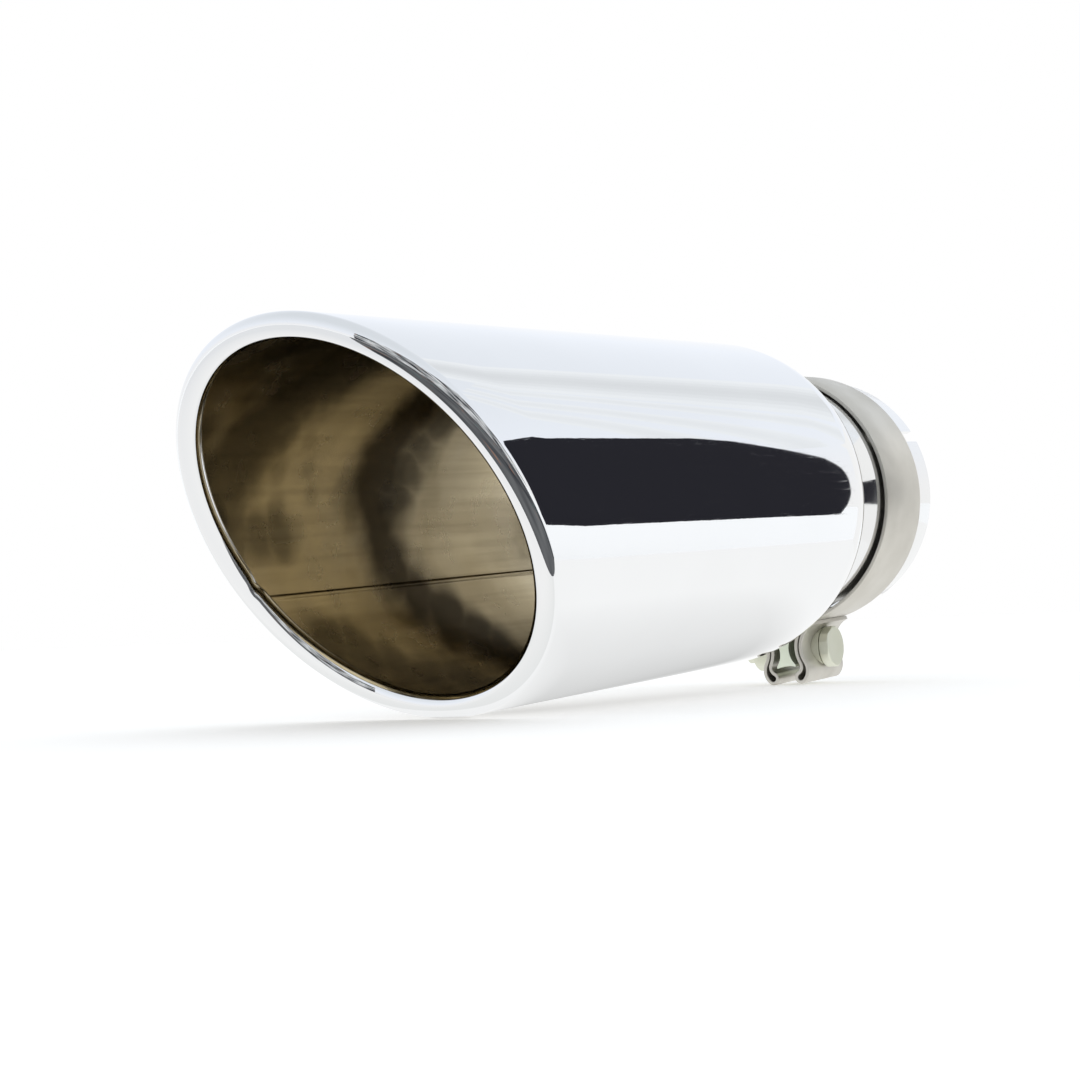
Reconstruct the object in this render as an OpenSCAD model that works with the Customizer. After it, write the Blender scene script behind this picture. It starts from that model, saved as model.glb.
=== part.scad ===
// Slip-on exhaust tip: a polished outer shell with a slanted, rolled-in lip,
// welded to a slotted inlet neck that a loose one-bolt band clamp closes on the pipe.
// X runs along the axis from the inlet's open end to the mouth, Z is up, in millimetres.

/* [Outer shell] */
// Outside diameter of the shell
shell_d = 101.6; // [88:0.2:116]
// Thickness of the shell's sheet
shell_t = 1.5; // [1.2:0.1:2]
// Inlet end to the middle of the mouth
mouth_x = 270.4; // [220:0.2:340]
// Slant of the mouth, its long side on top
mouth_slant = 32.4; // [0:0.1:40]
// Inlet end to the start of the rounded shoulder
shoulder_x = 87.7; // [78:0.1:110]
// Radius of the shoulder
shoulder_r = 29.8; // [22:0.1:36]

/* [Rolled lip] */
// Outside radius of the rolled edge
lip_r = 3.2; // [2.6:0.1:4.5]
// How far the edge is rolled round, from the outside of the shell
lip_turn = 275; // [180:5:280]

/* [Seam in the shell] */
// Where the sheet's welded seam lies, round the axis from the +Y side
seam_angle = 200.8; // [120:0.1:240]
// Height of the seam on the inner wall
seam_h = 0.35; // [0.1:0.05:0.6]
// Half the seam's width
seam_half = 0.8; // [0.5:0.1:1.5]

/* [Inlet neck] */
// Bore of the neck, a slip fit on a 76.2 pipe
neck_bore_d = 77.5; // [76.6:0.1:79]
// Thickness of the neck's wall
neck_t = 1.5; // [1.2:0.1:2]
// How far the neck runs on inside the shell, past the shell's rear edge
neck_inside = 10; // [4:0.5:20]
// Number of slots that let the neck close
slot_count = 4; // [2:1:6]
// Width of a slot
slot_w = 4; // [2:0.5:6]
// Length of a slot, with its round end
slot_len = 38; // [30:1:50]
// Place of the first slot, round the axis from the +Y side
slot_angle = 27.7; // [0:0.1:89]
// Gap between the shell's rear edge and the neck, which the weld covers
weld_gap = 0.3; // [0.2:0.1:0.6]
// Radius of the weld bead
weld_r = 1.9; // [1.4:0.1:2.6]

/* [Clamp band] */
// Width of the band along the neck
band_w = 28; // [20:0.5:32]
// Thickness of the band's strip
band_t = 1.2; // [0.8:0.1:1.4]
// Inlet end to the band's rear edge
band_x = 14.2; // [8:0.1:20]
// Play between the loose band and the neck, all round
band_gap = 0.75; // [0.4:0.05:1]
// How far the loose band hangs below the neck's axis
band_drop = 0.4; // [0:0.05:0.4]
// Turn of the clamp round the neck, from straight down towards +Y
clamp_turn = 2; // [-20:1:20]

/* [Clamp ears] */
// Middle line of the band to the middle of the ears' hollow, outwards
hollow_out = 8; // [7.6:0.1:8.8]
// Middle of the ears' hollow to the bolt, outwards
bolt_out = 0.6; // [0.2:0.1:0.8]
// Middle of the clamp to the outer layer of an ear, at its hollow
ear_out = 5.9; // [5.6:0.1:6.4]
// Gap between the two layers of an ear
layer_gap = 0.4; // [0.3:0.1:0.8]
// Middle-line radius of the bend from the band into an ear
root_r = 2; // [1.6:0.1:2.6]
// Middle-line radius of the loop at an ear's tip
loop_r = 1.6; // [1.3:0.1:1.9]
// Outer layer of an ear, at its hollow, to the middle of the loop, inwards
loop_in = 0.8; // [0.7:0.1:1.1]
// Middle of the hollow to the middle of the loop, outwards
loop_drop = 9.4; // [8.8:0.1:10]
// How far the strip's end, at the top of an ear, stops short of the band
end_short = 1; // [0.6:0.1:2]

/* [Clamp spacer] */
// Thickness of the spacer at its waist, half of it
waist_half = 1.6; // [1.2:0.1:2.2]
// Radius of the spacer's hollow sides
spacer_hollow_r = 7; // [6:0.1:9]
// Spacer past the bolt's hole, towards the neck
spacer_up = 0.7; // [0.5:0.1:0.9]
// Spacer past the bolt's hole, outwards
spacer_down = 1; // [0.8:0.1:1.2]
// Half the spacer's width at its inner edge
spacer_top_half = 3.4; // [3:0.1:3.6]
// Half the spacer's width at its outer edge
spacer_foot_half = 3.4; // [3:0.1:3.5]
// Depth of the arch in the spacer's outer edge
spacer_arch = 0.5; // [0.2:0.1:0.7]
// Lean of the loose spacer
spacer_lean = 3; // [0:0.5:3]

/* [Bolt and nut] */
// Thread diameter of the bolt
bolt_d = 8; // [6:0.5:8]
// Diameter of the holes that the bolt passes through
bolt_hole_d = 8.8; // [8.4:0.1:9]
// Width of the head and of the nut across their flats
hex_af = 13; // [10:0.5:13]
// Height of the bolt's head
head_h = 3.4; // [3:0.1:6]
// Height of the nut
nut_h = 6.5; // [5:0.1:7]
// Bolt's end past the nut
bolt_end = 3.5; // [1:0.5:10]
// Play of the nut's bore round the bolt, on the radius
thread_gap = 0.1; // [0.05:0.05:0.2]
// How far the corners of the head and of the nut are turned down
corner_round = 0.7; // [0.4:0.1:0.9]
// Rim of a saddle washer past the flats of the head or the nut
saddle_rim = 0.3; // [0.2:0.1:0.5]

/* [Hidden] */
$fn = 96;
// Clear air between pieces that are pressed together
seat = 0.05;
// Overshoot of a cutting tool
past = 1;

// Shell: radii of its walls, of the line that the lip rolls about, and of its rear edge
shell_r = shell_d / 2;
inner_wall = shell_r - shell_t;
roll_r = shell_r - lip_r;
neck_r = neck_bore_d / 2 + neck_t;
edge_r = neck_r + weld_gap;
// Turn of the shoulder from the wall to its rear edge
shoulder_turn = acos((edge_r - shell_r + shoulder_r) / (shoulder_r - shell_t));
// Shell's rear edge, and the neck's end inside the shell
rear_x = shoulder_x - shoulder_r * sin(shoulder_turn);
neck_len = rear_x + neck_inside;
shoulder_steps = 6;
ring_steps = 72;
lip_steps = 17;
curl_steps = 10;

// Clamp: middle-line radii of the band and of an ear's two layers, the outer one meant to reach the band
band_in = neck_r + band_gap;
band_mid = band_in + band_t / 2;
touch_mid = band_mid + band_t + seat;
hollow_drop = band_mid + hollow_out;
bolt_drop = hollow_drop + bolt_out;
outer_r = (pow(ear_out, 2) + pow(hollow_drop, 2) - pow(touch_mid, 2)) / (2 * (touch_mid - ear_out));
inner_r = outer_r + band_t + layer_gap;
hollow = [ear_out + outer_r, -hollow_drop];
loop_at = [ear_out - loop_in, -hollow_drop - loop_drop];
// Reverse bends between an ear's layers and its loop
reverse_in = 2.5;
reverse_out = 5;
// Turn of one straight piece of the strip, in a wide and in a tight bend
wide_step = 3;
tight_step = 7;
wide_bend = 20;
// Ring turned down on a hexagon's end face, inside its flats
corner_cut = 0.2;
// Head and nut: their rounded corners and their end faces
corner_r = hex_af / 2 / cos(30) - corner_round;
face_r = hex_af / 2 - corner_cut;
turned_h = (corner_r - face_r) * tan(30);
// Saddle washer: its back's radius in the ear's hollow, and its thickness,
// which lifts the head clear of the hollow's sides and leaves a rim round the hole
saddle_r = outer_r - band_t / 2 - seat;
function hollow_depth(half) = saddle_r - sqrt(pow(saddle_r, 2) - pow(half, 2));
saddle_t = max(hollow_depth(corner_r - bolt_out + seat) - turned_h,
    hollow_depth(bolt_hole_d / 2 + bolt_out + saddle_rim));
// Outer face of a saddle washer, where the head and the nut bear
bearing = ear_out + band_t / 2 + seat + saddle_t;
// Spacer's edges above and below the bolt
spacer_top = bolt_hole_d / 2 + spacer_up;
spacer_foot = bolt_hole_d / 2 + spacer_down;
band_mid_x = band_x + band_w / 2;

function dir(a) = [cos(a), sin(a)];
function angle_to(p, q) = atan2(q[1] - p[1], q[0] - p[0]);

// Point at distances rp from p and rq from q, on the right of the way from p to q
function meet(p, rp, q, rq) =
    let (gap = norm(q - p), along = (gap * gap + rp * rp - rq * rq) / (2 * gap),
        across = sqrt(rp * rp - along * along), u = (q - p) / gap)
    p + along * u + across * [u[1], -u[0]];

// Slanted edge: its place along X and its slope, at angle a round the axis
function edge_x(a) = mouth_x + roll_r * tan(mouth_slant) * sin(a);
function edge_slope(a) = tan(mouth_slant) * cos(a);

// Point on the roll of the lip, at angle a round the axis and turned by f from the outside
function lip_point(a, r, f) =
    let (k = edge_slope(a), s = r * sin(f) / sqrt(1 + k * k), out = roll_r + r * cos(f))
    [edge_x(a) + s, out * cos(a) + s * k * sin(a), out * sin(a) - s * k * cos(a)];

function round_point(a, x, r) = [x, r * cos(a), r * sin(a)];

// The seam dies away this far behind the rolled edge
seam_stop = 1.5 * lip_r;

// Height of the seam on the inner wall, at angle a round the axis
function seam_rise(a) =
    let (off = abs(a - seam_angle) * PI / 180 * inner_wall)
    seam_h * max(0, 1 - pow(off / seam_half, 2));

// Even angles round the shell, and closer ones at the seam
seam_step = seam_half * 180 / PI / inner_wall;
seam_room = 1.5 * seam_step;
ring_angles = concat(
    [for (i = [0 : ring_steps - 1]) let (a = i * 360 / ring_steps)
        if (a < seam_angle - seam_room) a],
    [for (i = [-2 : 2]) seam_angle + i * seam_step / 2],
    [for (i = [0 : ring_steps - 1]) let (a = i * 360 / ring_steps)
        if (a > seam_angle + seam_room) a]);

// The sheet's section at angle a: outer wall, lip, curled end, and back along the inner wall
function shell_section(a) = concat(
    [for (i = [shoulder_steps : -1 : 0]) let (f = shoulder_turn * i / shoulder_steps)
        round_point(a, shoulder_x - shoulder_r * sin(f), shell_r - shoulder_r * (1 - cos(f)))],
    [for (i = [0 : lip_steps]) lip_point(a, lip_r, lip_turn * i / lip_steps)],
    [for (i = [curl_steps : -1 : 0]) lip_point(a, lip_r - shell_t, lip_turn * i / curl_steps)],
    [round_point(a, edge_x(a) - seam_stop, inner_wall - seam_rise(a))],
    [for (i = [0 : shoulder_steps])
        let (f = shoulder_turn * i / shoulder_steps, r = shoulder_r - shell_t)
        let (rise = i == 0 ? seam_rise(a) : 0)
        round_point(a, shoulder_x - r * sin(f), inner_wall - r * (1 - cos(f)) - rise)]);

module outer_shell() {
    sections = [for (a = ring_angles) shell_section(a)];
    n = len(sections[0]);
    m = len(sections);
    color([0.86, 0.87, 0.88])
        polyhedron(
            points = [for (s = sections) each s],
            faces = [for (i = [0 : m - 1], j = [0 : n - 1], half = [0, 1])
                let (a = i * n, b = ((i + 1) % m) * n, k = (j + 1) % n)
                half == 0 ? [a + j, a + k, b + k] : [a + j, b + k, b + j]],
            convexity = 8);
}

// A cylinder along X between two places
module along_x(x0, x1, r) {
    translate([x0, 0, 0]) rotate([0, 90, 0]) cylinder(h = x1 - x0, r = r);
}

module inlet_neck() {
    color([0.83, 0.84, 0.85])
        difference() {
            along_x(0, neck_len, neck_r);
            along_x(-past, neck_len + past, neck_r - neck_t);
            for (i = [0 : slot_count - 1])
                rotate([slot_angle + i * 360 / slot_count, 0, 0]) neck_slot();
        }
}

// A slot with a round end, cut outwards through one wall
module neck_slot() {
    translate([-past, 0, -slot_w / 2])
        translate([0, neck_r / 2, 0]) cube([slot_len - slot_w / 2 + past, neck_r, slot_w]);
    translate([slot_len - slot_w / 2, neck_r / 2, 0])
        rotate([-90, 0, 0]) cylinder(h = neck_r, r = slot_w / 2);
}

// Middle of the weld bead, in the corner between the shell's rear edge and the neck
weld_back = weld_r / 6;
weld_x = rear_x - weld_back;
weld_mid_r = (neck_r + shell_r - shoulder_r * (1 - cos(shoulder_turn))) / 2;

module neck_weld() {
    color([0.70, 0.70, 0.69])
        rotate([0, 90, 0]) rotate_extrude()
            difference() {
                translate([weld_mid_r, weld_x]) circle(r = weld_r);
                translate([neck_r + seat - 2 * weld_r, weld_x - 2 * weld_r])
                    square([2 * weld_r, 4 * weld_r]);
                translate([shell_r - shoulder_r, shoulder_x]) sheet_side();
            }
}

// Section of the shoulder's sheet and all inside it, up to the sheet's rear edge
module sheet_side() {
    intersection() {
        circle(r = shoulder_r + seat);
        rotate(-shoulder_turn) translate([0, -seat]) square(2 * shoulder_r);
    }
}

module clamp_seated() {
    rotate([clamp_turn, 0, 0]) translate([0, 0, -band_drop]) children();
}

root_at = meet([0, 0], band_mid + root_r, hollow, inner_r - root_r);
bend_in = meet(hollow, inner_r + reverse_in, loop_at, loop_r + reverse_in);
bend_out = meet(hollow, outer_r + reverse_out, loop_at, reverse_out - loop_r);
root_angle = angle_to([0, 0], root_at);
hollow_angle = angle_to([0, 0], hollow);
end_turn = end_short / outer_r * 180 / PI;

// Middle line of the strip's near half, as arcs of centre, radius, first and last angle:
// outer layer, two bends round the loop, inner layer and root
ear_arcs = [
    [hollow, outer_r, hollow_angle + 180 + end_turn, 360 + angle_to(hollow, bend_out)],
    [bend_out, reverse_out, angle_to(bend_out, hollow), angle_to(bend_out, loop_at)],
    [loop_at, loop_r, 360 + angle_to(bend_out, loop_at), angle_to(loop_at, bend_in)],
    [bend_in, reverse_in, angle_to(bend_in, loop_at), angle_to(bend_in, hollow)],
    [hollow, inner_r, 360 + angle_to(hollow, bend_in), angle_to(hollow, root_at)],
    [root_at, root_r, angle_to(hollow, root_at), root_angle + 180]];
strip_arcs = concat(
    ear_arcs,
    [[[0, 0], band_mid, root_angle, 180 - root_angle]],
    [for (i = [len(ear_arcs) - 1 : -1 : 0]) let (a = ear_arcs[i])
        [[-a[0][0], a[0][1]], a[1], 180 - a[3], 180 - a[2]]]);

// Points along the strip, at distance s to the left of its middle line
function strip_side(s) = [
    for (k = [0 : len(strip_arcs) - 1])
        let (a = strip_arcs[k], turn = a[3] - a[2], step = a[1] > wide_bend ? wide_step : tight_step)
        let (steps = ceil(abs(turn) / step))
        for (i = [(k == 0 ? 0 : 1) : steps])
            a[0] + (a[1] - sign(turn) * s) * dir(a[2] + turn * i / steps)];

module strip_outline() {
    left = strip_side(band_t / 2);
    right = strip_side(-band_t / 2);
    polygon(concat(left, [for (i = [len(right) - 1 : -1 : 0]) right[i]]));
}

// A round hole across both ears, for the bolt
module bolt_bore(r) {
    translate([band_mid_x, 0, -bolt_drop]) rotate([90, 0, 0])
        cylinder(h = 4 * bearing, r = r, center = true);
}

module clamp_band() {
    color([0.72, 0.73, 0.70])
        clamp_seated()
            difference() {
                bar(band_w) strip_outline();
                bolt_bore(bolt_hole_d / 2);
            }
}

// A flat outline in the plane across the axis, given a width along it
module bar(w) {
    translate([band_mid_x - w / 2, 0, 0]) rotate([90, 0, 90]) linear_extrude(w) children();
}

arch_r = (pow(spacer_foot_half, 2) + pow(spacer_arch, 2)) / (2 * spacer_arch);

// Hourglass section, its waist at the bolt
module spacer_outline() {
    difference() {
        union() {
            translate([-spacer_foot_half, -spacer_foot]) square([2 * spacer_foot_half, spacer_foot]);
            translate([-spacer_top_half, 0]) square([2 * spacer_top_half, spacer_top]);
        }
        for (side = [-1, 1])
            translate([side * (waist_half + spacer_hollow_r), 0]) circle(r = spacer_hollow_r);
        translate([0, -spacer_foot - arch_r + spacer_arch]) circle(r = arch_r);
    }
}

module clamp_spacer() {
    color([0.72, 0.80, 0.68])
        clamp_seated()
            translate([0, 0, -bolt_drop]) rotate([spacer_lean, 0, 0])
                difference() {
                    bar(band_w) spacer_outline();
                    translate([0, 0, bolt_drop]) bolt_bore(bolt_hole_d / 2);
                }
}

// Round washer, its back shaped to the ear's hollow, that gives the head or the nut a flat face
module saddle() {
    difference() {
        intersection() {
            shank(0, bearing, hex_af / 2 + saddle_rim);
            bar(band_w) translate(hollow) circle(r = saddle_r);
        }
        bolt_bore(bolt_hole_d / 2);
    }
}

module saddle_head() {
    color([0.60, 0.58, 0.54]) clamp_seated() saddle();
}

module saddle_nut() {
    color([0.60, 0.58, 0.54]) clamp_seated() mirror([0, 1, 0]) saddle();
}

// Hexagon on the bolt's axis, flats fore and aft, both its ends and its corners turned down
module hexagon(from, h) {
    cone_r = face_r + h / tan(30);
    translate([band_mid_x, from, -bolt_drop]) rotate([-90, 0, 0])
        intersection() {
            rotate(30) cylinder(h = h, r = hex_af / 2 / cos(30), $fn = 6);
            cylinder(h = h, r = corner_r);
            cylinder(h = h, r1 = cone_r, r2 = face_r);
            cylinder(h = h, r1 = face_r, r2 = cone_r);
        }
}

module shank(from, to, r) {
    translate([band_mid_x, from, -bolt_drop]) rotate([-90, 0, 0]) cylinder(h = to - from, r = r);
}

module clamp_bolt() {
    tip = -(bearing + seat + nut_h + bolt_end);
    color([0.76, 0.78, 0.71])
        clamp_seated() {
            hexagon(bearing + seat, head_h);
            shank(tip, bearing + seat + head_h / 2, bolt_d / 2);
        }
}

module clamp_nut() {
    color([0.76, 0.78, 0.71])
        clamp_seated() mirror([0, 1, 0])
            difference() {
                hexagon(bearing + seat, nut_h);
                bolt_bore(bolt_d / 2 + thread_gap);
            }
}

outer_shell();
inlet_neck();
neck_weld();
clamp_band();
clamp_spacer();
saddle_head();
saddle_nut();
clamp_bolt();
clamp_nut();
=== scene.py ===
"""Looks for the exhaust tip: smooth polished shell, slotted neck, satin clamp, and a studio round them."""
from math import acos, atan2, ceil, cos, exp, pi, radians, sin, sqrt, tan

import bmesh
import bpy
from mathutils import Matrix, Vector

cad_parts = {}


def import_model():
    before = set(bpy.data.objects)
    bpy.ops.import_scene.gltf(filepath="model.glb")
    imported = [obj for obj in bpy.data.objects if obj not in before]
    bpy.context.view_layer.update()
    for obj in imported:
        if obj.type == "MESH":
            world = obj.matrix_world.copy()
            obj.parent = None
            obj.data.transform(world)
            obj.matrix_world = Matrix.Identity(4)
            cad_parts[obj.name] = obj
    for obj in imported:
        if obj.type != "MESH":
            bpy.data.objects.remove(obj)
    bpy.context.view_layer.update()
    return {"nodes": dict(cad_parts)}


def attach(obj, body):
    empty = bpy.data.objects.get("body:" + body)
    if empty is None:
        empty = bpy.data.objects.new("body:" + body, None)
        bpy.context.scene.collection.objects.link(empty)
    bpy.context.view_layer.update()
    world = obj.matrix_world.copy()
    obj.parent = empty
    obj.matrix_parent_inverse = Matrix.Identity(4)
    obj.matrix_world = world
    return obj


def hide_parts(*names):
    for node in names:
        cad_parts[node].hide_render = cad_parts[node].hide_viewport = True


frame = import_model()

# Sizes of the CAD part that the smooth pieces follow, in metres
shell_r = 0.0508
shell_t = 0.0015
mouth_x = 0.2704
mouth_slant = radians(32.4)
shoulder_x = 0.0877
shoulder_r = 0.0298
lip_r = 0.0032
lip_turn = radians(275)
seam_angle = radians(200.8)
seam_half = 0.0008
seam_h = 0.00035
neck_bore_r = 0.03875
neck_t = 0.0015
neck_inside = 0.010
weld_gap = 0.0003
weld_r = 0.0019
slot_w = 0.004
slot_len = 0.038
slot_angle = radians(27.7)
slot_count = 4
band_w = 0.028
band_t = 0.0012
band_x = 0.0142
band_gap = 0.00075
band_drop = 0.0004
clamp_turn = radians(2)
hollow_out = 0.008
bolt_out = 0.0006
ear_out = 0.0059
layer_gap = 0.0004
root_r = 0.002
loop_r = 0.0016
loop_in = 0.0008
loop_drop = 0.0094
end_short = 0.001
reverse_in = 0.0025
reverse_out = 0.005
bolt_hole_r = 0.0044
seat = 0.00005

# What follows from those sizes
roll_r = shell_r - lip_r
inner_wall = shell_r - shell_t
neck_r = neck_bore_r + neck_t
shoulder_turn = acos((neck_r + weld_gap - shell_r + shoulder_r) / (shoulder_r - shell_t))
rear_x = shoulder_x - shoulder_r * sin(shoulder_turn)
neck_len = rear_x + neck_inside
band_mid = neck_r + band_gap + band_t / 2
band_mid_x = band_x + band_w / 2
touch_mid = band_mid + band_t + seat
hollow_drop = band_mid + hollow_out
bolt_drop = hollow_drop + bolt_out
outer_r = (ear_out ** 2 + hollow_drop ** 2 - touch_mid ** 2) / (2 * (touch_mid - ear_out))
inner_r = outer_r + band_t + layer_gap
hollow = Vector((ear_out + outer_r, -hollow_drop))
loop_at = Vector((ear_out - loop_in, -hollow_drop - loop_drop))

# The dent in the rolled edge where the sheet's seam runs into it
kink_angle = seam_angle - radians(3)
kink_half = 0.0017
kink_deep = 0.0005
kink_from = 2
kink_fade = 1.2

# Other details that the CAD part doesn't have
edge_round = 0.0003
bead_low = 0.94
bead_ripple = 0.05
ripple_count = 180

# How finely the smooth pieces are divided
ring_steps = 240
shoulder_steps = 20
wall_steps = 10
lip_steps = 44
curl_steps = 24
raw_steps = 8
slot_steps = 24
bead_steps = 720
bead_round_steps = 24
broad_from = 0.02
broad_step = radians(1.5)
tight_step = radians(4)
sharp_from = radians(35)
cutter_len = 0.06

black = (0, 0, 0)
white = (1, 1, 1)
noise_range = (0.3, 0.7)


def material(name):
    """A node material: returns it, its nodes, its links and its surface shader."""
    m = bpy.data.materials.new(name)
    m.use_nodes = True
    nodes = m.node_tree.nodes
    return m, nodes, m.node_tree.links, nodes["Principled BSDF"]


def feed(links, socket, value):
    """Gives an input another node's output, or a value of its own."""
    if isinstance(value, bpy.types.NodeSocket):
        links.new(value, socket)
    else:
        socket.default_value = value


def object_point(nodes, links, stretch=(1, 1, 1)):
    """Object coordinates, stretched, for a pattern that stays with the piece."""
    co = nodes.new("ShaderNodeTexCoord")
    mp = nodes.new("ShaderNodeMapping")
    mp.inputs["Scale"].default_value = stretch
    links.new(co.outputs["Object"], mp.inputs["Vector"])
    return mp.outputs["Vector"]


def noise(nodes, links, at, scale, detail, distort=0.0, output="Fac"):
    """Cloudy noise at a place, as a value or a colour."""
    n = nodes.new("ShaderNodeTexNoise")
    n.inputs["Scale"].default_value = scale
    n.inputs["Detail"].default_value = detail
    n.inputs["Distortion"].default_value = distort
    links.new(at, n.inputs["Vector"])
    return n.outputs[output]


def ramp(nodes, links, value, stops, ease="LINEAR"):
    """A colour ramp with the stops (place, colour)."""
    r = nodes.new("ShaderNodeValToRGB")
    r.color_ramp.interpolation = ease
    while len(r.color_ramp.elements) < len(stops):
        r.color_ramp.elements.new(0.5)
    for e, (place, colour) in zip(r.color_ramp.elements, stops):
        e.position = place
        e.color = (*colour, 1)
    links.new(value, r.inputs["Fac"])
    return r.outputs["Color"]


def map_range(nodes, links, value, span, ends, curve="LINEAR"):
    """Maps the values of the span onto those between the ends."""
    m = nodes.new("ShaderNodeMapRange")
    m.interpolation_type = curve
    m.inputs["From Min"].default_value = span[0]
    m.inputs["From Max"].default_value = span[1]
    m.inputs["To Min"].default_value = ends[0]
    m.inputs["To Max"].default_value = ends[1]
    links.new(value, m.inputs["Value"])
    return m.outputs["Result"]


def spread(nodes, links, value, low, high):
    """Maps a noise's usual range onto low to high."""
    return map_range(nodes, links, value, noise_range, (low, high))


def calc(nodes, links, operation, a, b):
    """One step of arithmetic on numbers or outputs."""
    m = nodes.new("ShaderNodeMath")
    m.operation = operation
    feed(links, m.inputs[0], a)
    feed(links, m.inputs[1], b)
    return m.outputs[0]


def vector_calc(nodes, links, operation, *values, output="Vector"):
    """One step of arithmetic on vectors or outputs."""
    m = nodes.new("ShaderNodeVectorMath")
    m.operation = operation
    for socket, value in zip(m.inputs, values):
        feed(links, socket, value)
    return m.outputs[output]


def mix_colour(nodes, links, factor, below, colour, blend="MIX"):
    """The colour laid over what is below, as far as the factor says."""
    mix = nodes.new("ShaderNodeMix")
    mix.data_type = "RGBA"
    mix.blend_type = blend
    mix.inputs["B"].default_value = (*colour, 1)
    links.new(factor, mix.inputs["Factor"])
    links.new(below, mix.inputs["A"])
    return mix.outputs["Result"]


def bump(nodes, links, value, shader, strength, distance, below=None):
    """Relief on a shader, over the relief below it."""
    b = nodes.new("ShaderNodeBump")
    b.inputs["Strength"].default_value = strength
    b.inputs["Distance"].default_value = distance
    links.new(value, b.inputs["Height"])
    if below:
        links.new(below, b.inputs["Normal"])
    links.new(b.outputs["Normal"], shader.inputs["Normal"])
    return b.outputs["Normal"]


def polished(name, colour, haze):
    """Mirror-polished steel: slow waves in the sheet, faint haze and hairline scratches."""
    m, nodes, links, sh = material(name)
    sh.inputs["Metallic"].default_value = 1
    at = object_point(nodes, links)
    hairs_at = object_point(nodes, links, (90, 1500, 1500))
    brushed_at = object_point(nodes, links, (60, 900, 900))
    dim = tuple(c * 0.985 for c in colour)
    clouds = noise(nodes, links, at, scale=25, detail=4)
    links.new(ramp(nodes, links, clouds, [(0.35, dim), (0.65, colour)]), sh.inputs["Base Color"])
    hairs = noise(nodes, links, hairs_at, scale=1, detail=2, distort=0.8)
    scratch = ramp(nodes, links, hairs, [(0.62, black), (0.72, (0.05, 0.05, 0.05))])
    dull = spread(nodes, links, noise(nodes, links, at, scale=60, detail=5), haze / 2, haze)
    links.new(calc(nodes, links, "ADD", dull, scratch), sh.inputs["Roughness"])
    waves = noise(nodes, links, at, scale=14, detail=1)
    sheet = bump(nodes, links, waves, sh, strength=0.10, distance=0.0006)
    brushed = noise(nodes, links, brushed_at, scale=3, detail=2)
    bump(nodes, links, brushed, sh, strength=0.008, distance=0.0001, below=sheet)
    return m


def reflection_band_mask(nodes, links, spots, reach):
    """1 on the line through the spots and 0 beyond reach, with ragged edges: the mask of one band of painted
    dark reflection.
    """
    wander = reach * 0.9
    here = nodes.new("ShaderNodeTexCoord").outputs["Object"]
    ragged = noise(nodes, links, here, scale=55, detail=2, output="Color")
    moved = vector_calc(nodes, links, "MULTIPLY_ADD", ragged, (wander,) * 3, here)
    moved = vector_calc(nodes, links, "SUBTRACT", moved, (wander / 2,) * 3)
    nearest = reach
    for spot in spots:
        away = vector_calc(nodes, links, "DISTANCE", moved, spot, output="Value")
        nearest = calc(nodes, links, "MINIMUM", nearest, away)
    return map_range(nodes, links, nearest, (reach / 4, reach), (1, 0), "SMOOTHSTEP")


def on_wall(places, steps=3):
    """Points on the inner wall along strokes between places, given as mm along X and degrees round it."""
    spots = []
    for (x0, a0), (x1, a1) in zip(places, places[1:]):
        for i in range(steps + 1):
            x, a = x0 + (x1 - x0) * i / steps, radians(a0 + (a1 - a0) * i / steps)
            spots.append((x / 1000, inner_wall * cos(a), inner_wall * sin(a)))
    return spots


# Painted dark reflections on the inner wall, in bands given as (points, reach, depth)
painted_reflections = [
    (on_wall([(188, 137), (200, 169), (194, 196), (163, 234)], 4), 0.018, 1),
    (on_wall([(173, 144), (187, 172)]), 0.011, 0.8),
    (on_wall([(228, 118), (252, 140), (272, 172)], 4), 0.018, 0.85),
    (on_wall([(281, 150), (272, 187)]), 0.011, 0.8),
    (on_wall([(284, 122), (262, 110), (248, 112)], 2), 0.016, 0.6),
    (on_wall([(268, 180), (242, 180)]), 0.011, 0.65),
    (on_wall([(238, 219), (197, 241)], 4), 0.015, 0.75),
    (on_wall([(245, 151), (243, 172)], 2), 0.006, 0.35),
    (on_wall([(234, 151), (228, 169)], 2), 0.005, 0.25),
]
# Colour that the painted dark reflections multiply into the inner wall
painted_reflection_tint = (0.13, 0.12, 0.10)
streak_tint = (0.80, 0.79, 0.77)


def raw_steel(name, colours, rough, grain=(40, 600, 600), reflection_bands=()):
    """Unpolished steel: blotches of tint, bands of painted dark reflection, and a fine grain along the tube.
    """
    m, nodes, links, sh = material(name)
    sh.inputs["Metallic"].default_value = 1
    at = object_point(nodes, links)
    streaks = noise(nodes, links, object_point(nodes, links, grain), scale=1, detail=3)
    blots = noise(nodes, links, at, scale=22, detail=5, distort=0.6)
    low, high = noise_range
    places = [low + (high - low) * i / (len(colours) - 1) for i in range(len(colours))]
    tint = ramp(nodes, links, blots, list(zip(places, colours)), "EASE")
    if reflection_bands:
        strong = spread(nodes, links, streaks, 1, -0.4)
        tint = mix_colour(nodes, links, strong, tint, streak_tint, "MULTIPLY")
    # Each band darkens the colour: a dark reflection painted into the inner wall
    for spots, reach, depth in reflection_bands:
        there = calc(nodes, links, "MULTIPLY", reflection_band_mask(nodes, links, spots, reach), depth)
        tint = mix_colour(nodes, links, there, tint, painted_reflection_tint, "MULTIPLY")
    links.new(tint, sh.inputs["Base Color"])
    dull = noise(nodes, links, at, scale=90, detail=6)
    links.new(spread(nodes, links, dull, rough * 0.75, rough * 1.2), sh.inputs["Roughness"])
    bump(nodes, links, streaks, sh, strength=0.04, distance=0.0001)
    return m


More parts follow.
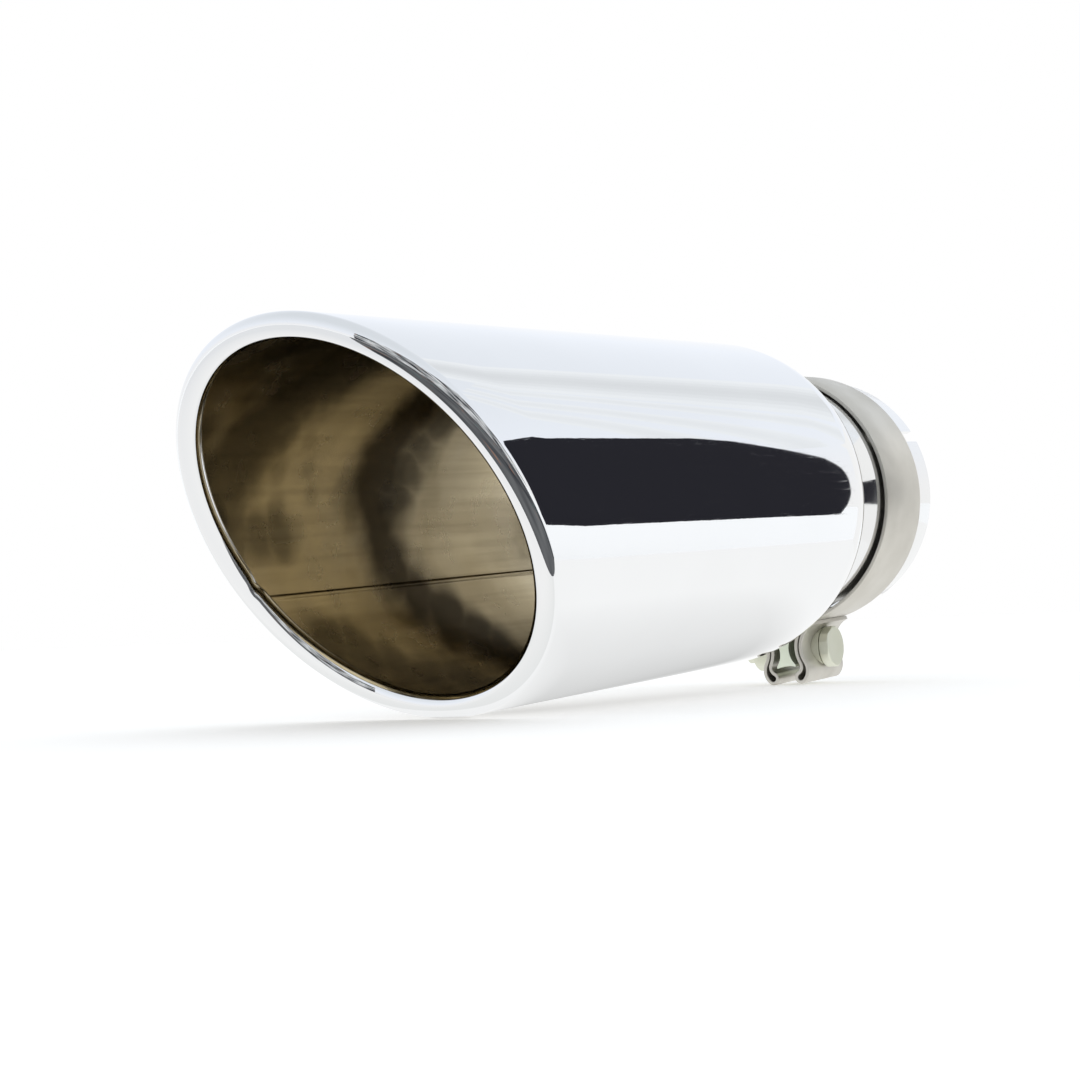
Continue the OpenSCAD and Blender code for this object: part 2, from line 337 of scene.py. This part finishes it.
steel = polished("polished steel", (0.87, 0.875, 0.885), haze=0.03)
neck_steel = polished("neck steel", (0.84, 0.845, 0.85), haze=0.10)
# The raw inside carries dark reflections painted into its colour along bands
inside = raw_steel("raw inside", [(0.58, 0.49, 0.31), (0.70, 0.60, 0.40), (0.76, 0.66, 0.47)],
                   rough=0.25, grain=(12, 330, 330), reflection_bands=painted_reflections)
neck_inside_steel = raw_steel("raw neck bore", [(0.20, 0.18, 0.15), (0.45, 0.42, 0.37), (0.62, 0.60, 0.56)],
                              rough=0.36)
satin = raw_steel("satin strip", [(0.52, 0.50, 0.45), (0.62, 0.60, 0.55), (0.69, 0.67, 0.62)],
                  rough=0.50, grain=(900, 30, 30))
zinc = raw_steel("zinc plate", [(0.56, 0.57, 0.46), (0.70, 0.71, 0.60), (0.78, 0.79, 0.68)],
                 rough=0.42, grain=(300, 300, 300))
green_zinc = raw_steel("green zinc plate", [(0.78, 0.84, 0.70), (0.86, 0.91, 0.79)],
                       rough=0.45, grain=(40, 500, 500))
weld_metal = raw_steel("weld metal", [(0.45, 0.40, 0.33), (0.60, 0.58, 0.54), (0.66, 0.65, 0.62)],
                       rough=0.30, grain=(400, 400, 400))


def link_object(name, data):
    """A new object with the data, put into the scene."""
    o = bpy.data.objects.new(name, data)
    bpy.context.scene.collection.objects.link(o)
    return o


def mesh_object(name, verts, faces, mats, face_mats=None, smooth=True):
    """A mesh of points and faces, put into the scene; face_mats gives each face's material."""
    me = bpy.data.meshes.new(name)
    me.from_pydata(verts, [], faces)
    me.validate()
    for m in mats:
        me.materials.append(m)
    if face_mats:
        me.polygons.foreach_set("material_index", face_mats)
    me.polygons.foreach_set("use_smooth", [smooth] * len(me.polygons))
    me.update()
    return link_object(name, me)


def place(o, node, slot):
    """Lets the piece ride the part in place of the CAD node."""
    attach(o, "root")
    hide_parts(node)


def ring_faces(rings, points, closed=True, flip=False):
    """Faces between rings of points that follow each other; flip turns their outer side over."""
    faces = []
    for i in range(rings if closed else rings - 1):
        a, b = i * points, (i + 1) % rings * points
        for j in range(points):
            k = (j + 1) % points
            faces.append((a + j, a + k, b + k, b + j) if flip else (a + j, b + j, b + k, a + k))
    return faces


def ring_angles():
    """Even angles round the shell, with close ones across the seam."""
    half = seam_half / inner_wall
    even = [2 * pi * i / ring_steps for i in range(ring_steps)]
    close = [seam_angle + half * i / 4 for i in range(-6, 7)]
    return sorted([a for a in even if abs(a - seam_angle) > 1.6 * half] + close)


def edge_x(a):
    """X of the rolled edge's middle at angle a."""
    return mouth_x + roll_r * tan(mouth_slant) * sin(a)


def lip_point(a, r, f):
    """Point on the rolled edge at angle a round the axis, turned by f from the outside."""
    k = tan(mouth_slant) * cos(a)
    across = (a - kink_angle) * inner_wall / kink_half
    r -= kink_deep * exp(-across ** 2) * min(1, max(0, f - kink_from) / kink_fade)
    s = r * sin(f) / sqrt(1 + k * k)
    out = roll_r + r * cos(f)
    return (edge_x(a) + s, out * cos(a) + s * k * sin(a), out * sin(a) - s * k * cos(a))


def round_point(a, x, r):
    """Point at x along the axis and r from it, at angle a."""
    return (x, r * cos(a), r * sin(a))


def seam_rise(a):
    """Height of the welded seam over the inner wall at angle a."""
    off = abs(a - seam_angle) * inner_wall
    return seam_h * max(0.0, 1 - (off / seam_half) ** 2)


def shell_section(a):
    """The sheet's section at angle a, and the number of its first point on the raw inner side."""
    bend_r = shoulder_r - shell_t
    rise = seam_rise(a)
    turns = [shoulder_turn * i / shoulder_steps for i in range(shoulder_steps + 1)]
    along = [shoulder_x + (edge_x(a) - shoulder_x) * i / wall_steps for i in range(1, wall_steps)]
    pts = [round_point(a, shoulder_x - shoulder_r * sin(f), shell_r - shoulder_r * (1 - cos(f)))
           for f in reversed(turns)]
    pts += [round_point(a, x, shell_r) for x in along]
    pts += [lip_point(a, lip_r, lip_turn * i / lip_steps) for i in range(lip_steps + 1)]
    raw_from = len(pts) - raw_steps
    pts += [lip_point(a, lip_r - shell_t, lip_turn * i / curl_steps) for i in range(curl_steps, -1, -1)]
    pts += [round_point(a, x, inner_wall - rise) for x in reversed(along)]
    for f in turns:
        r = inner_wall - bend_r * (1 - cos(f)) - rise * (1 - f / shoulder_turn)
        pts.append(round_point(a, shoulder_x - bend_r * sin(f), r))
    return pts, raw_from


def shell():
    """The rolled sheet, polished outside and raw inside."""
    angles = ring_angles()
    verts = []
    for a in angles:
        pts, raw_from = shell_section(a)
        verts += pts
    sides = [0] * raw_from + [1] * (len(pts) - raw_from)
    faces = ring_faces(len(angles), len(pts))
    place(mesh_object("shell", verts, faces, [steel, inside], sides * len(angles)),
          "outer_shell", "polished_steel")


def corner_arc(cx, cy, r, first, steps=4):
    """A quarter turn clockwise from the angle first, as points."""
    return [(cx + r * cos(first - pi / 2 * i / steps), cy + r * sin(first - pi / 2 * i / steps))
            for i in range(steps + 1)]


def round_box(x0, x1, y0, y1, r):
    """A rectangle with rounded corners, clockwise from its upper left one."""
    return (corner_arc(x0 + r, y1 - r, r, pi) + corner_arc(x1 - r, y1 - r, r, pi / 2)
            + corner_arc(x1 - r, y0 + r, r, 0) + corner_arc(x0 + r, y0 + r, r, -pi / 2))


def cut_out(o, cutters):
    """Cuts the cutters out of o and removes them."""
    for c in cutters:
        mod = o.modifiers.new("cut", "BOOLEAN")
        mod.object = c
        mod.solver = "EXACT"
    deps = bpy.context.evaluated_depsgraph_get()
    me = bpy.data.meshes.new_from_object(o.evaluated_get(deps))
    o.modifiers.clear()
    o.data = me
    me.set_sharp_from_angle(angle=sharp_from)
    for c in cutters:
        bpy.data.objects.remove(c)


def rod_cutter(r, length, where):
    """A round cutter along the Z axis of the place."""
    bm = bmesh.new()
    bmesh.ops.create_cone(bm, cap_ends=True, segments=64, radius1=r, radius2=r, depth=length)
    me = bpy.data.meshes.new("cutter")
    bm.to_mesh(me)
    bm.free()
    me.transform(where)
    return link_object("cutter", me)


def slot_cutter(turn):
    """An open-ended slot with a round inner end, through one wall of the neck."""
    half = slot_w / 2
    before = -0.001
    turns = [pi * i / slot_steps for i in range(slot_steps + 1)]
    outline = [(before, half), (before, -half)]
    outline += [(slot_len - half + half * sin(f), -half * cos(f)) for f in turns]
    n = len(outline)
    verts = [(x, y, z) for y in (neck_r * 0.6, neck_r * 1.3) for x, z in outline]
    faces = [tuple(range(n)), tuple(reversed(range(n, 2 * n)))]
    faces += [(i, n + i, n + (i + 1) % n, (i + 1) % n) for i in range(n)]
    me = bpy.data.meshes.new("cutter")
    me.from_pydata(verts, [], faces)
    bm = bmesh.new()
    bm.from_mesh(me)
    bmesh.ops.recalc_face_normals(bm, faces=bm.faces)
    bm.to_mesh(me)
    bm.free()
    me.transform(Matrix.Rotation(turn, 4, "X"))
    return link_object("cutter", me)


def neck():
    """The slotted tube, polished outside and raw in its bore."""
    section = round_box(0, neck_len, neck_bore_r, neck_r, edge_round)
    half = len(section) // 2
    sides = [0] * half + [1] * half
    verts = [round_point(2 * pi * i / ring_steps, x, r) for i in range(ring_steps) for x, r in section]
    faces = ring_faces(ring_steps, len(section), flip=True)
    o = mesh_object("neck", verts, faces, [neck_steel, neck_inside_steel], sides * ring_steps)
    cut_out(o, [slot_cutter(slot_angle + 2 * pi * i / slot_count) for i in range(slot_count)])
    place(o, "inlet_neck", "neck_steel")


def weld():
    """A rippled bead round the neck, behind the shell's rear edge."""
    mid_r = (neck_r + shell_r - shoulder_r * (1 - cos(shoulder_turn))) / 2
    mid_x = rear_x - weld_r / 6
    verts = []
    for i in range(bead_steps):
        a = 2 * pi * i / bead_steps
        swell = weld_r * (bead_low + bead_ripple * abs(sin(a * ripple_count / 2)))
        for j in range(bead_round_steps):
            f = 2 * pi * j / bead_round_steps
            verts.append(round_point(a, mid_x + swell * cos(f), mid_r + swell * sin(f)))
    faces = ring_faces(bead_steps, bead_round_steps)
    place(mesh_object("weld", verts, faces, [weld_metal]), "neck_weld", "weld_metal")


def meet(p, rp, q, rq):
    """Point at distances rp from p and rq from q, on the right of the way from p to q."""
    gap = (q - p).length
    along = (gap * gap + rp * rp - rq * rq) / (2 * gap)
    u = (q - p) / gap
    return p + along * u + sqrt(rp * rp - along * along) * Vector((u.y, -u.x))


def angle_to(p, q):
    """Direction from p to q."""
    return atan2(q.y - p.y, q.x - p.x)


def strip_arcs():
    """Middle line of the clamp's strip, as arcs of centre, radius, first and last angle."""
    axis = Vector((0, 0))
    turn = 2 * pi
    root_at = meet(axis, band_mid + root_r, hollow, inner_r - root_r)
    bend_in = meet(hollow, inner_r + reverse_in, loop_at, loop_r + reverse_in)
    bend_out = meet(hollow, outer_r + reverse_out, loop_at, reverse_out - loop_r)
    root_angle = angle_to(axis, root_at)
    first = angle_to(axis, hollow) + pi + end_short / outer_r
    ear = [(hollow, outer_r, first, turn + angle_to(hollow, bend_out)),
           (bend_out, reverse_out, angle_to(bend_out, hollow), angle_to(bend_out, loop_at)),
           (loop_at, loop_r, turn + angle_to(bend_out, loop_at), angle_to(loop_at, bend_in)),
           (bend_in, reverse_in, angle_to(bend_in, loop_at), angle_to(bend_in, hollow)),
           (hollow, inner_r, turn + angle_to(hollow, bend_in), angle_to(hollow, root_at)),
           (root_at, root_r, angle_to(hollow, root_at), root_angle + pi)]
    back = [(Vector((-c.x, c.y)), r, pi - b, pi - a) for c, r, a, b in reversed(ear)]
    return ear + [(axis, band_mid, root_angle, pi - root_angle)] + back


def strip_stations():
    """Places along the strip, as centre, radius, way round the centre and angle."""
    stations = []
    for c, r, a, b in strip_arcs():
        steps = ceil(abs(b - a) / (broad_step if r > broad_from else tight_step))
        way = 1 if b > a else -1
        stations += [(c, r, way, a + (b - a) * i / steps) for i in range(1 if stations else 0, steps + 1)]
    return stations


def clamp_place(x, u, v):
    """A point of the clamp's own plane, where the loose clamp hangs on the neck."""
    v -= band_drop
    return (x, u * cos(clamp_turn) - v * sin(clamp_turn), u * sin(clamp_turn) + v * cos(clamp_turn))


def band():
    """The clamp's strip, with the bolt's hole through both ears."""
    section = round_box(band_x, band_x + band_w, -band_t / 2, band_t / 2, edge_round)
    stations = strip_stations()
    verts = [clamp_place(x, *(c + (r - way * s) * Vector((cos(f), sin(f)))))
             for c, r, way, f in stations for x, s in section]
    n = len(section)
    faces = [tuple(range(n)), tuple(reversed(range(len(verts) - n, len(verts))))]
    faces += ring_faces(len(stations), n, closed=False)
    o = mesh_object("band", verts, faces, [satin])
    bolt_at = Matrix.Translation(clamp_place(band_mid_x, 0, -bolt_drop))
    upright = Matrix.Rotation(clamp_turn + pi / 2, 4, "X")
    cut_out(o, [rod_cutter(bolt_hole_r, cutter_len, bolt_at @ upright)])
    place(o, "clamp_band", "satin_steel")


shell()
neck()
weld()
band()

# The fittings keep their CAD shapes and get a metal each
for node, mat in (("clamp_spacer", green_zinc), ("saddle_head", zinc), ("saddle_nut", zinc),
                  ("clamp_bolt", zinc), ("clamp_nut", zinc)):
    piece = frame["nodes"][node]
    piece.data.materials.clear()
    piece.data.materials.append(mat)

# Camera: the photograph's place, direction and lens, found by fitting the part's outlines
lens_mm = 72.82
sensor_mm = 36
camera_at = Vector((0.7033, 0.3165, -0.0024))
camera_look = Vector((-0.8514, -0.5245, -0.0077))
camera_up = Vector((-0.0413, 0.0523, 0.9978))

# The table passes through the places where the clamp's loops and the lower lip rest, as (x, z)
loops_rest = (band_x + band_w, -0.06175)
lip_rest = (0.2405, -0.05083)
table_half = 6
card_lift = 0.0005

# Corners of the cards on the table, as (x, y); its dim part begins on the line border_near to border_far
border_near = (0.15, 0.135)
border_far = (0.42, -0.02)
border_end = (1.5, -0.10)
front_x = 0.245
front_y = 0.08
edge_corners = [border_near, border_far, border_end, (1.5, 1.4), (0.15, 1.4)]
front_corners = [(front_x, front_y), (front_x, -0.6), (1.5, -1), border_end, border_far]
shade_corners = [(-0.5, -0.2), (front_x, -0.2), (front_x, front_y), border_near, (-0.5, 0.135)]

# The dark opening of the light tent, seen in the polished side, as (y, z)
dark_x = -0.8
dark_corners = [(0.43, -0.10), (0.42, 0.05), (0.407, 0.15), (0.405, 0.34), (0.414, 0.375), (0.53, 0.497),
                (1.0, 0.54), (1.0, -0.10)]

# The white card behind the neck, with a notch that the neck mirrors as a small dark patch, as (y, z)
neck_card_x = -0.02
neck_corners = [(0.047, -0.04), (0.085, -0.04), (0.085, -0.009), (0.070, -0.009), (0.070, 0.012),
                (0.085, 0.012), (0.085, 0.045), (0.047, 0.045)]

# Cards on spheres round the mouth; their corners are (azimuth, elevation) in degrees
mouth = Vector((0.27, 0, 0))
room_radius = 1.6
room_corners = [(-4, -4), (116, -4), (104, 36), (12, 36)]
cloth_radius = 6
cloth_tint = (0.955, 0.985, 1.01)


def camera():
    """The photograph's camera."""
    data = bpy.data.cameras.new("camera")
    data.lens = lens_mm
    data.sensor_width = sensor_mm
    cam = link_object("camera", data)
    back = -camera_look.normalized()
    right = camera_up.cross(back).normalized()
    up = back.cross(right)
    cam.matrix_world = Matrix.Translation(camera_at) @ Matrix((right, up, back)).transposed().to_4x4()
    bpy.context.scene.camera = cam


def world():
    """White for the camera; in reflections a little blue overhead and warm below."""
    w = bpy.data.worlds.new("world")
    bpy.context.scene.world = w
    w.use_nodes = True
    nodes, links = w.node_tree.nodes, w.node_tree.links
    split = nodes.new("ShaderNodeSeparateXYZ")
    links.new(nodes.new("ShaderNodeTexCoord").outputs["Generated"], split.inputs["Vector"])
    height = map_range(nodes, links, split.outputs["Z"], (-1, 1), (0, 1))
    sky = ramp(nodes, links, height, [(0.42, (1, 1, 0.985)), (0.52, white), (0.66, (0.94, 0.98, 1.045)),
                                      (0.95, (0.78, 0.82, 0.86))])
    seen = nodes.new("ShaderNodeLightPath").outputs["Is Camera Ray"]
    background = nodes["Background"]
    background.inputs["Strength"].default_value = 1
    links.new(mix_colour(nodes, links, seen, sky, white), background.inputs["Color"])


def unseen(o):
    """A card that only reflections see."""
    o.visible_camera = False
    o.visible_diffuse = False
    o.visible_shadow = False


def matt(name, colour=black, glow=1):
    """A stage material without shine: returns it, its nodes, its links and its glow's colour input."""
    m, nodes, links, sh = material(name)
    sh.inputs["Base Color"].default_value = (*colour, 1)
    sh.inputs["Roughness"].default_value = 0.9
    sh.inputs["Specular IOR Level"].default_value = 0
    sh.inputs["Emission Strength"].default_value = glow
    return m, nodes, links, sh.inputs["Emission Color"]


def plain(name, light, colour=black, glow=1):
    """A stage material that glows evenly."""
    m, _, _, glow_colour = matt(name, colour, glow)
    glow_colour.default_value = (*light, 1)
    return m


def room_material(name, dark, light, size):
    """The dim room in front of the table: patches from dark to light, with a few coloured things in it."""
    m, nodes, links, glow = matt(name)
    at = object_point(nodes, links)
    tint = ramp(nodes, links, noise(nodes, links, at, size, detail=3), [(0.40, dark), (0.62, light)])
    for shift, colour in ((3, (0.36, 0.20, 0.14)), (7, (0.10, 0.20, 0.20))):
        moved = vector_calc(nodes, links, "ADD", at, (shift, 0, 0))
        spots = noise(nodes, links, moved, size * 2.5, detail=1)
        there = ramp(nodes, links, spots, [(0.68, black), (0.73, white)])
        tint = mix_colour(nodes, links, there, tint, colour)
    links.new(tint, glow)
    return m


def on_table(nodes, links):
    """Outputs with the place on the table along X and Y."""
    apart = nodes.new("ShaderNodeSeparateXYZ")
    links.new(nodes.new("ShaderNodeTexCoord").outputs["Object"], apart.inputs["Vector"])
    return apart.outputs


def front_material():
    """The table's front part, that gets less light."""
    m, nodes, links, glow = matt("table front")
    stops = [(front_x, (0.90, 0.91, 0.90)), (0.275, (1.0, 1.0, 0.99)), (0.42, (0.87, 0.885, 0.90))]
    links.new(ramp(nodes, links, on_table(nodes, links)["X"], stops), glow)
    return m


def shade_material():
    """The table under the part, darker the nearer the part is to it."""
    m, nodes, links, glow = matt("table shade")
    spot = on_table(nodes, links)
    aside = calc(nodes, links, "ABSOLUTE", spot["Y"], 0)
    along = ramp(nodes, links, spot["X"],
                 [(0.035, black), (0.075, white), (0.21, white), (front_x, black)])
    across = ramp(nodes, links, aside, [(0, white), (0.029, (0.4, 0.4, 0.4)), (0.065, black)])
    shade = calc(nodes, links, "MULTIPLY", along, across)
    links.new(ramp(nodes, links, shade, [(0, (1.03, 1.035, 1.03)), (1, (0.62, 0.625, 0.62))]), glow)
    return m


def flat(name, corners, mat):
    """One flat face through the corners."""
    return mesh_object(name, corners, [tuple(range(len(corners)))], [mat], smooth=False)


def table_z(x):
    """The table's height at x; the clamp's loops and the lower lip rest on it."""
    (x0, z0), (x1, z1) = loops_rest, lip_rest
    return z0 + (x - x0) * (z1 - z0) / (x1 - x0)


def table_card(name, corners, mat):
    """A card just over the table that only reflections see."""
    unseen(flat(name, [(x, y, table_z(x) + card_lift) for x, y in corners], mat))


def sky_card(name, mat, corners, radius, steps=24):
    """Part of a sphere round the mouth between four corners."""
    low_a, low_b, high_b, high_a = [Vector(c) for c in corners]
    verts, faces = [], []
    for i in range(steps + 1):
        for j in range(steps + 1):
            low, high = low_a.lerp(low_b, j / steps), high_a.lerp(high_b, j / steps)
            a, e = (radians(v) for v in low.lerp(high, i / steps))
            verts.append(mouth + radius * Vector((cos(e) * cos(a), cos(e) * sin(a), sin(e))))
    for i in range(steps):
        for j in range(steps):
            k = i * (steps + 1) + j
            faces.append((k, k + 1, k + steps + 2, k + steps + 1))
    unseen(mesh_object(name, verts, faces, [mat]))


def soft_fold(name, low, high, half, depth, steps=4):
    """A soft grey fold in the tent's cloth, as strips that grow darker towards its middle."""
    for i in range(-steps, steps + 1):
        grey = 1 - depth * (0.5 + 0.5 * cos(pi * i / (steps + 1)))
        mat = plain("%s %d" % (name, i + steps), [grey * c for c in cloth_tint])
        a, b = half * (i - 0.5) / steps, half * (i + 0.5) / steps
        corners = [(low[0] + a, low[1]), (low[0] + b, low[1]), (high[0] + b, high[1]), (high[0] + a, high[1])]
        sky_card("%s_%d" % (name, i + steps), mat, corners, cloth_radius)


def cards():
    """All that the steel mirrors beside the sky and the white table."""
    dark = [(dark_x, y, z) for y, z in dark_corners]
    light = [(neck_card_x, y, z) for y, z in neck_corners]
    unseen(flat("dark_card", dark, plain("dark card", (0.022, 0.022, 0.028))))
    unseen(flat("neck_card", light, plain("neck card", (1, 1, 0.99))))
    sky_card("dim_room", room_material("dim room", (0.02, 0.023, 0.03), (0.80, 0.82, 0.83), size=4),
             room_corners, room_radius)
    table_card("table_edge", edge_corners,
               room_material("table edge", (0.04, 0.043, 0.05), (0.17, 0.175, 0.18), size=9))
    table_card("table_front", front_corners, front_material())
    table_card("table_shade", shade_corners, shade_material())
    soft_fold("tent_fold", (173, 19), (181, 42), half=5, depth=0.17)
    for i, shift in enumerate((8.5, 12, 15)):
        soft_fold("faint_fold_%d" % i, (172 - shift, 14), (180 - shift, 34), half=0.8, depth=0.07, steps=2)


def floor():
    """The white table."""
    corners = [(x, y, table_z(x)) for x, y in ((-table_half, -table_half), (table_half, -table_half),
                                               (table_half, table_half), (-table_half, table_half))]
    flat("floor", corners, plain("floor", (1, 0.99, 0.97), colour=(0.88, 0.87, 0.85), glow=0.32))


camera()
world()
cards()
floor()

bpy.context.scene.view_settings.view_transform = "Standard"
